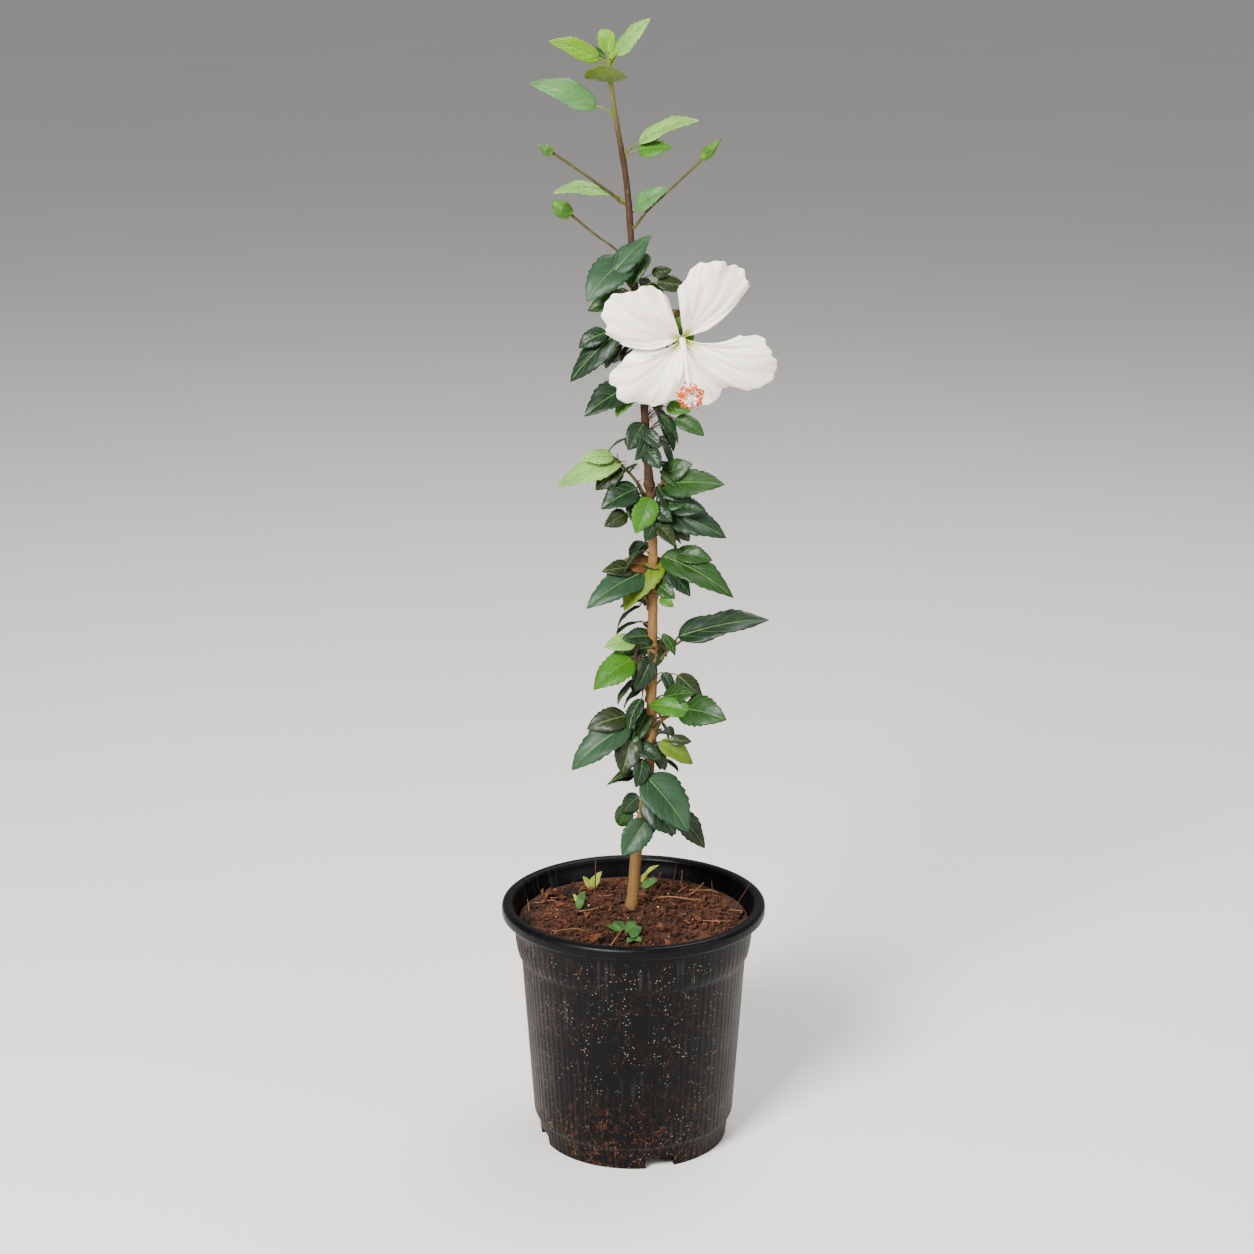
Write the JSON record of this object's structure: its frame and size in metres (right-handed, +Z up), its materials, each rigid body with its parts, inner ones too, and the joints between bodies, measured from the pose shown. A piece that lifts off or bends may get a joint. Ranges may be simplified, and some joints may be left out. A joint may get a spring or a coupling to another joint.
{
  "type": "potted hibiscus shrub",
  "caption": "Young upright hibiscus shrub on a slender stem, with toothed green leaves, a large open white bloom and flower buds, growing in a tapered nursery pot.",
  "frame": {"origin": "on the pot's axis, at the ground under the foot ring", "axes": "+Z up along the plant, -Y towards the side that the bloom faces, +X to the right as the bloom is looked at"},
  "size_m": [0.2074, 0.203, 0.8577],
  "materials": {
    "pot_plastic": "satin",
    "potting_soil": "matte",
    "bark": "matte",
    "green_shoot": "satin",
    "leaf": "satin",
    "young_leaf": "satin",
    "bud_green": "satin",
    "petal": "matte"
  },
  "bodies": {
    "root": {"bloom_back": "leaf", "bloom_left": "leaf", "bloom_left_upper": "leaf", "bloom_right": "leaf", "bloom_stalk": "green_shoot", "calyx": "bud_green", "centre_back": "leaf", "centre_front": "leaf", "centre_left": "leaf", "centre_left_shoot": "green_shoot", "centre_right": "leaf", "centre_right_shoot": "green_shoot", "corolla": "petal", "crown_back": "leaf", "crown_left": "leaf", "crown_low_left": "leaf", "crown_right": "leaf", "foot_back": "leaf", "foot_front": "leaf", "foot_right": "leaf", "high_back": "leaf", "high_front": "leaf", "high_left": "leaf", "high_left_stalk": "green_shoot", "high_right": "leaf", "high_right_shoot": "green_shoot", "left_bud": "bud_green", "left_bud_stalk": "green_shoot", "low_back": "leaf", "low_front": "leaf", "low_front_right": "leaf", "low_left": "leaf", "low_right": "leaf", "low_right_shoot": "green_shoot", "lower_left_bud": "bud_green", "lower_left_bud_stalk": "green_shoot", "main_stem": "bark", "mid_back": "leaf", "mid_left": "leaf", "mid_left_shoot": "green_shoot", "mid_right": "leaf", "mid_right_leaf": "leaf", "mid_right_stalk": "green_shoot", "pot": "pot_plastic", "right_bud": "bud_green", "right_bud_stalk": "green_shoot", "soil": "potting_soil", "stamen_column": "petal", "tip_back": "young_leaf", "tip_front": "young_leaf", "tip_left": "young_leaf", "tip_right": "young_leaf", "top_left": "young_leaf", "top_right": "young_leaf", "under_bloom_left": "leaf", "under_bloom_right": "leaf", "upper_back": "leaf", "upper_front": "leaf", "upper_left": "leaf", "upper_right": "leaf"}
  },
  "joints": []
}
